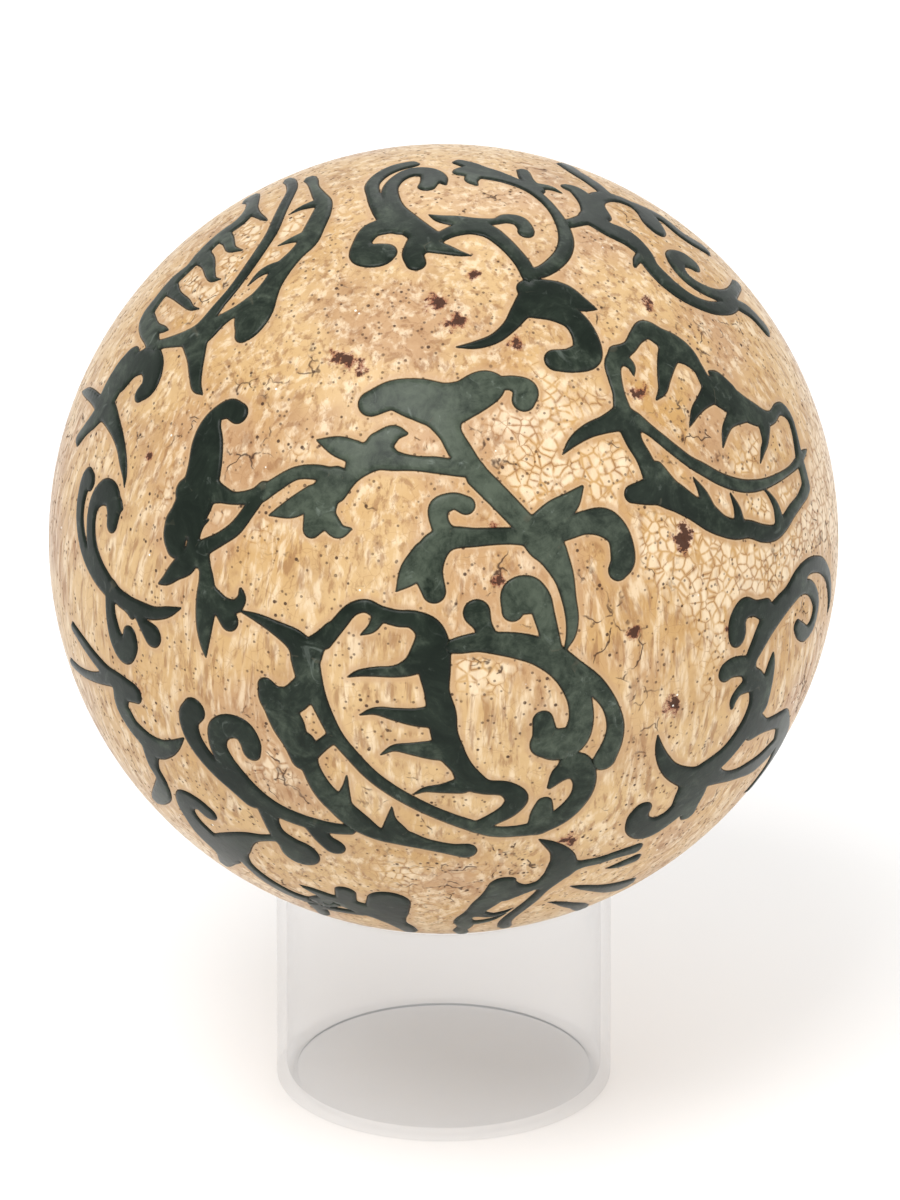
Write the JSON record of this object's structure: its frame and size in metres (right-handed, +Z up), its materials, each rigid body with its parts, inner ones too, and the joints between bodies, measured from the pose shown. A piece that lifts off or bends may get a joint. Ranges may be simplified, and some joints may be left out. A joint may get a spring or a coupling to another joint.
{
  "type": "decorative sphere",
  "caption": "Stone ball with dark acanthus-scroll inlay, resting on the rim of a clear cylinder stand.",
  "frame": {"origin": "centre of the stand's foot, on the surface it stands on", "axes": "+Z up through the stand and the ball; the ball's most richly inlaid side faces -Y and +X is to its right"},
  "size_m": [0.235, 0.235, 0.2925],
  "materials": {
    "travertine": "polished cream and gold stone with fine streaks and small brown pits",
    "serpentine": "polished near-black green stone with paler grey-green clouds",
    "acrylic": "clear, polished, with bright edges"
  },
  "bodies": {
    "root": {"clear_stand": "acrylic", "stone_ball": "travertine", "inlay_central_leaf": "serpentine", "inlay_central_leaf_point": "serpentine", "inlay_inner_scroll": "serpentine", "inlay_upper_scroll": "serpentine", "inlay_left_lobed_leaf": "serpentine", "inlay_upper_left_leaf": "serpentine", "inlay_upper_left_stem": "serpentine", "inlay_left_double_curl": "serpentine", "inlay_left_edge_leaf": "serpentine", "inlay_lower_left_scroll": "serpentine", "inlay_lower_left_leaf": "serpentine", "inlay_top_scroll": "serpentine", "inlay_top_leaf": "serpentine", "inlay_right_top_scroll": "serpentine", "inlay_right_leaf": "serpentine", "inlay_right_scroll": "serpentine", "inlay_lower_right_leaf": "serpentine", "inlay_bottom_band": "serpentine", "inlay_far_leaf_east": "serpentine", "inlay_far_leaf_west": "serpentine", "inlay_far_curl": "serpentine", "inlay_far_leaf_low": "serpentine"}
  },
  "joints": []
}
